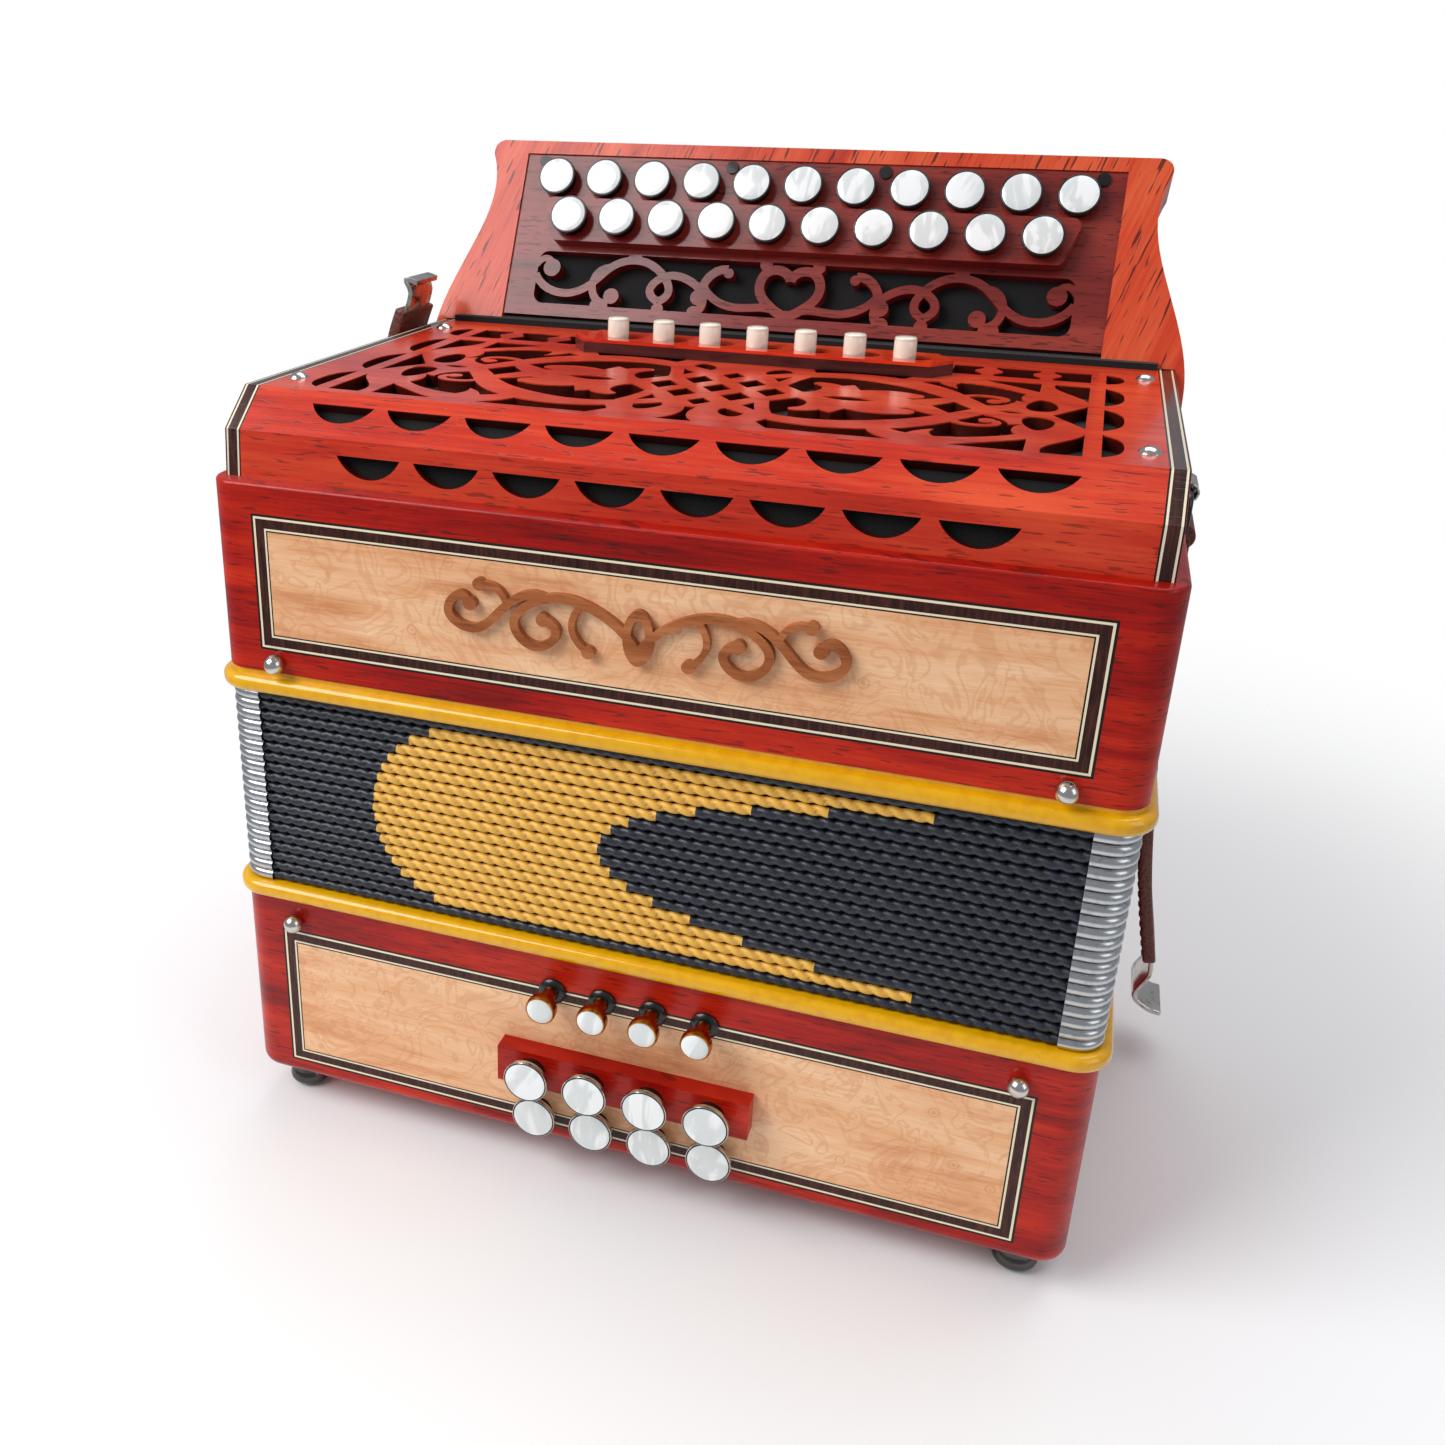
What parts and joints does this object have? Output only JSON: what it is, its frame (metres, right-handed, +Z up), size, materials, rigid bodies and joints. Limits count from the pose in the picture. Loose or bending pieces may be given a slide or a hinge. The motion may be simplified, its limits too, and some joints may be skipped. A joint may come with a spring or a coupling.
{
  "type": "diatonic button accordion",
  "caption": "Two-row button accordion with bellows, fretted treble cover, tilted keyboard of round buttons, register pegs, bass buttons and stops.",
  "frame": {"origin": "on the surface the feet stand on, at the middle of the overall footprint", "axes": "+Z up from the bass end to the treble end, -Y the player-facing front with inlays and bass buttons, +X along the casing's length"},
  "size_m": [0.3231, 0.2354, 0.325],
  "materials": {
    "padauk": "satin lacquer",
    "cover_padauk": "gloss lacquer",
    "cheek_padauk": "open-pored lacquer",
    "plate_rosewood": "satin lacquer",
    "maple": "satin lacquer with dark and white stringing",
    "spruce": "unfinished",
    "black_cloth": "woven",
    "gilt_strip": "gloss",
    "nickel": "polished",
    "leather": "grained",
    "bellows_tape": "coated cloth",
    "black_plastic": "gloss",
    "pearl": "pearlescent gloss",
    "turned_brass": "polished, lacquered brown"
  },
  "bodies": {
    "bass_end": {"bass_casing": "padauk", "bass_inlay": "maple", "bass_reed_unit": "spruce", "bass_bellows_frame": "gilt_strip", "bass_feet_and_pins": "nickel", "hand_strap": "leather", "bellows": "bellows_tape"},
    "treble_end": {"treble_casing": "padauk", "treble_inlay": "maple", "treble_soundboard": "spruce", "treble_reed_blocks": "spruce", "grille_cover": "cover_padauk", "cloths_and_felt": "black_cloth", "register_bar": "cover_padauk", "keyboard_frame": "cheek_padauk", "keyboard_plate": "plate_rosewood", "treble_bellows_frame": "gilt_strip", "treble_fasteners": "nickel", "strap_tabs": "leather"},
    "key_outer_01": {"key_outer_01": "pearl"},
    "key_outer_02": {"key_outer_02": "pearl"},
    "key_outer_03": {"key_outer_03": "pearl"},
    "key_outer_04": {"key_outer_04": "pearl"},
    "key_outer_05": {"key_outer_05": "pearl"},
    "key_outer_06": {"key_outer_06": "pearl"},
    "key_outer_07": {"key_outer_07": "pearl"},
    "key_outer_08": {"key_outer_08": "pearl"},
    "key_outer_09": {"key_outer_09": "pearl"},
    "key_outer_10": {"key_outer_10": "pearl"},
    "key_outer_11": {"key_outer_11": "pearl"},
    "key_inner_01": {"key_inner_01": "pearl"},
    "key_inner_02": {"key_inner_02": "pearl"},
    "key_inner_03": {"key_inner_03": "pearl"},
    "key_inner_04": {"key_inner_04": "pearl"},
    "key_inner_05": {"key_inner_05": "pearl"},
    "key_inner_06": {"key_inner_06": "pearl"},
    "key_inner_07": {"key_inner_07": "pearl"},
    "key_inner_08": {"key_inner_08": "pearl"},
    "key_inner_09": {"key_inner_09": "pearl"},
    "key_inner_10": {"key_inner_10": "pearl"},
    "register_1": {"register_1": "pearl"},
    "register_2": {"register_2": "pearl"},
    "register_3": {"register_3": "pearl"},
    "register_4": {"register_4": "pearl"},
    "register_5": {"register_5": "pearl"},
    "register_6": {"register_6": "pearl"},
    "register_7": {"register_7": "pearl"},
    "stop_knob_1": {"stop_knob_1": "turned_brass"},
    "stop_knob_2": {"stop_knob_2": "turned_brass"},
    "stop_knob_3": {"stop_knob_3": "turned_brass"},
    "stop_knob_4": {"stop_knob_4": "turned_brass"},
    "bass_key_01": {"bass_key_01": "pearl"},
    "bass_key_02": {"bass_key_02": "pearl"},
    "bass_key_03": {"bass_key_03": "pearl"},
    "bass_key_04": {"bass_key_04": "pearl"},
    "bass_key_05": {"bass_key_05": "pearl"},
    "bass_key_06": {"bass_key_06": "pearl"},
    "bass_key_07": {"bass_key_07": "pearl"},
    "bass_key_08": {"bass_key_08": "pearl"},
    "air_button": {"air_button": "black_plastic"}
  },
  "joints": [
    {"name": "bellows_slide", "type": "slide", "parent": "bass_end", "child": "treble_end", "axis": [0, 0, 1], "range_m": [0, 0.2], "deforming": ["bellows"]},
    {"name": "key_outer_01_hinge", "type": "hinge", "parent": "treble_end", "child": "key_outer_01", "pos_m": [-0.1082, 0.07133, 0.24545], "axis": [-1, 0, 0], "range_deg": [0, 2.4], "stiffness_Nm_per_rad": 0.5, "springref_deg": -5.73},
    {"name": "key_outer_02_hinge", "type": "hinge", "parent": "treble_end", "child": "key_outer_02", "pos_m": [-0.0886, 0.07133, 0.24545], "axis": [-1, 0, 0], "range_deg": [0, 2.4], "stiffness_Nm_per_rad": 0.5, "springref_deg": -5.73},
    {"name": "key_outer_03_hinge", "type": "hinge", "parent": "treble_end", "child": "key_outer_03", "pos_m": [-0.069, 0.07133, 0.24545], "axis": [-1, 0, 0], "range_deg": [0, 2.4], "stiffness_Nm_per_rad": 0.5, "springref_deg": -5.73},
    {"name": "key_outer_04_hinge", "type": "hinge", "parent": "treble_end", "child": "key_outer_04", "pos_m": [-0.0494, 0.07133, 0.24545], "axis": [-1, 0, 0], "range_deg": [0, 2.4], "stiffness_Nm_per_rad": 0.5, "springref_deg": -5.73},
    {"name": "key_outer_05_hinge", "type": "hinge", "parent": "treble_end", "child": "key_outer_05", "pos_m": [-0.0298, 0.07133, 0.24545], "axis": [-1, 0, 0], "range_deg": [0, 2.4], "stiffness_Nm_per_rad": 0.5, "springref_deg": -5.73},
    {"name": "key_outer_06_hinge", "type": "hinge", "parent": "treble_end", "child": "key_outer_06", "pos_m": [-0.0102, 0.07133, 0.24545], "axis": [-1, 0, 0], "range_deg": [0, 2.4], "stiffness_Nm_per_rad": 0.5, "springref_deg": -5.73},
    {"name": "key_outer_07_hinge", "type": "hinge", "parent": "treble_end", "child": "key_outer_07", "pos_m": [0.0094, 0.07133, 0.24545], "axis": [-1, 0, 0], "range_deg": [0, 2.4], "stiffness_Nm_per_rad": 0.5, "springref_deg": -5.73},
    {"name": "key_outer_08_hinge", "type": "hinge", "parent": "treble_end", "child": "key_outer_08", "pos_m": [0.029, 0.07133, 0.24545], "axis": [-1, 0, 0], "range_deg": [0, 2.4], "stiffness_Nm_per_rad": 0.5, "springref_deg": -5.73},
    {"name": "key_outer_09_hinge", "type": "hinge", "parent": "treble_end", "child": "key_outer_09", "pos_m": [0.0486, 0.07133, 0.24545], "axis": [-1, 0, 0], "range_deg": [0, 2.4], "stiffness_Nm_per_rad": 0.5, "springref_deg": -5.73},
    {"name": "key_outer_10_hinge", "type": "hinge", "parent": "treble_end", "child": "key_outer_10", "pos_m": [0.0682, 0.07133, 0.24545], "axis": [-1, 0, 0], "range_deg": [0, 2.4], "stiffness_Nm_per_rad": 0.5, "springref_deg": -5.73},
    {"name": "key_outer_11_hinge", "type": "hinge", "parent": "treble_end", "child": "key_outer_11", "pos_m": [0.0878, 0.07133, 0.24545], "axis": [-1, 0, 0], "range_deg": [0, 2.4], "stiffness_Nm_per_rad": 0.5, "springref_deg": -5.73},
    {"name": "key_inner_01_hinge", "type": "hinge", "parent": "treble_end", "child": "key_inner_01", "pos_m": [-0.0984, 0.07133, 0.24545], "axis": [-1, 0, 0], "range_deg": [0, 3.15], "stiffness_Nm_per_rad": 0.5, "springref_deg": -5.73},
    {"name": "key_inner_02_hinge", "type": "hinge", "parent": "treble_end", "child": "key_inner_02", "pos_m": [-0.0788, 0.07133, 0.24545], "axis": [-1, 0, 0], "range_deg": [0, 3.15], "stiffness_Nm_per_rad": 0.5, "springref_deg": -5.73},
    {"name": "key_inner_03_hinge", "type": "hinge", "parent": "treble_end", "child": "key_inner_03", "pos_m": [-0.0592, 0.07133, 0.24545], "axis": [-1, 0, 0], "range_deg": [0, 3.15], "stiffness_Nm_per_rad": 0.5, "springref_deg": -5.73},
    {"name": "key_inner_04_hinge", "type": "hinge", "parent": "treble_end", "child": "key_inner_04", "pos_m": [-0.0396, 0.07133, 0.24545], "axis": [-1, 0, 0], "range_deg": [0, 3.15], "stiffness_Nm_per_rad": 0.5, "springref_deg": -5.73},
    {"name": "key_inner_05_hinge", "type": "hinge", "parent": "treble_end", "child": "key_inner_05", "pos_m": [-0.02, 0.07133, 0.24545], "axis": [-1, 0, 0], "range_deg": [0, 3.15], "stiffness_Nm_per_rad": 0.5, "springref_deg": -5.73},
    {"name": "key_inner_06_hinge", "type": "hinge", "parent": "treble_end", "child": "key_inner_06", "pos_m": [-0.0004, 0.07133, 0.24545], "axis": [-1, 0, 0], "range_deg": [0, 3.15], "stiffness_Nm_per_rad": 0.5, "springref_deg": -5.73},
    {"name": "key_inner_07_hinge", "type": "hinge", "parent": "treble_end", "child": "key_inner_07", "pos_m": [0.0192, 0.07133, 0.24545], "axis": [-1, 0, 0], "range_deg": [0, 3.15], "stiffness_Nm_per_rad": 0.5, "springref_deg": -5.73},
    {"name": "key_inner_08_hinge", "type": "hinge", "parent": "treble_end", "child": "key_inner_08", "pos_m": [0.0388, 0.07133, 0.24545], "axis": [-1, 0, 0], "range_deg": [0, 3.15], "stiffness_Nm_per_rad": 0.5, "springref_deg": -5.73},
    {"name": "key_inner_09_hinge", "type": "hinge", "parent": "treble_end", "child": "key_inner_09", "pos_m": [0.0584, 0.07133, 0.24545], "axis": [-1, 0, 0], "range_deg": [0, 3.15], "stiffness_Nm_per_rad": 0.5, "springref_deg": -5.73},
    {"name": "key_inner_10_hinge", "type": "hinge", "parent": "treble_end", "child": "key_inner_10", "pos_m": [0.078, 0.07133, 0.24545], "axis": [-1, 0, 0], "range_deg": [0, 3.15], "stiffness_Nm_per_rad": 0.5, "springref_deg": -5.73},
    {"name": "register_1_slide", "type": "slide", "parent": "treble_end", "child": "register_1", "axis": [1, 0, 0], "range_m": [0, 0.005]},
    {"name": "register_2_slide", "type": "slide", "parent": "treble_end", "child": "register_2", "axis": [1, 0, 0], "range_m": [0, 0.005]},
    {"name": "register_3_slide", "type": "slide", "parent": "treble_end", "child": "register_3", "axis": [1, 0, 0], "range_m": [0, 0.005]},
    {"name": "register_4_slide", "type": "slide", "parent": "treble_end", "child": "register_4", "axis": [1, 0, 0], "range_m": [0, 0.005]},
    {"name": "register_5_slide", "type": "slide", "parent": "treble_end", "child": "register_5", "axis": [1, 0, 0], "range_m": [0, 0.005]},
    {"name": "register_6_slide", "type": "slide", "parent": "treble_end", "child": "register_6", "axis": [1, 0, 0], "range_m": [0, 0.005]},
    {"name": "register_7_slide", "type": "slide", "parent": "treble_end", "child": "register_7", "axis": [1, 0, 0], "range_m": [0, 0.005]},
    {"name": "stop_knob_1_slide", "type": "slide", "parent": "bass_end", "child": "stop_knob_1", "axis": [0, 1, 0], "range_m": [0, 0.004]},
    {"name": "stop_knob_2_slide", "type": "slide", "parent": "bass_end", "child": "stop_knob_2", "axis": [0, 1, 0], "range_m": [0, 0.004]},
    {"name": "stop_knob_3_slide", "type": "slide", "parent": "bass_end", "child": "stop_knob_3", "axis": [0, 1, 0], "range_m": [0, 0.004]},
    {"name": "stop_knob_4_slide", "type": "slide", "parent": "bass_end", "child": "stop_knob_4", "axis": [0, 1, 0], "range_m": [0, 0.004]},
    {"name": "bass_key_01_slide", "type": "slide", "parent": "bass_end", "child": "bass_key_01", "axis": [0, 1, 0], "range_m": [0, 0.0032], "stiffness_N_per_m": 200, "springref_m": -0.006},
    {"name": "bass_key_02_slide", "type": "slide", "parent": "bass_end", "child": "bass_key_02", "axis": [0, 1, 0], "range_m": [0, 0.0032], "stiffness_N_per_m": 200, "springref_m": -0.006},
    {"name": "bass_key_03_slide", "type": "slide", "parent": "bass_end", "child": "bass_key_03", "axis": [0, 1, 0], "range_m": [0, 0.0032], "stiffness_N_per_m": 200, "springref_m": -0.006},
    {"name": "bass_key_04_slide", "type": "slide", "parent": "bass_end", "child": "bass_key_04", "axis": [0, 1, 0], "range_m": [0, 0.0032], "stiffness_N_per_m": 200, "springref_m": -0.006},
    {"name": "bass_key_05_slide", "type": "slide", "parent": "bass_end", "child": "bass_key_05", "axis": [0, 1, 0], "range_m": [0, 0.0032], "stiffness_N_per_m": 200, "springref_m": -0.006},
    {"name": "bass_key_06_slide", "type": "slide", "parent": "bass_end", "child": "bass_key_06", "axis": [0, 1, 0], "range_m": [0, 0.0032], "stiffness_N_per_m": 200, "springref_m": -0.006},
    {"name": "bass_key_07_slide", "type": "slide", "parent": "bass_end", "child": "bass_key_07", "axis": [0, 1, 0], "range_m": [0, 0.0032], "stiffness_N_per_m": 200, "springref_m": -0.006},
    {"name": "bass_key_08_slide", "type": "slide", "parent": "bass_end", "child": "bass_key_08", "axis": [0, 1, 0], "range_m": [0, 0.0032], "stiffness_N_per_m": 200, "springref_m": -0.006},
    {"name": "air_button_slide", "type": "slide", "parent": "bass_end", "child": "air_button", "axis": [0, -1, 0], "range_m": [0, 0.0035], "stiffness_N_per_m": 200, "springref_m": -0.006}
  ]
}
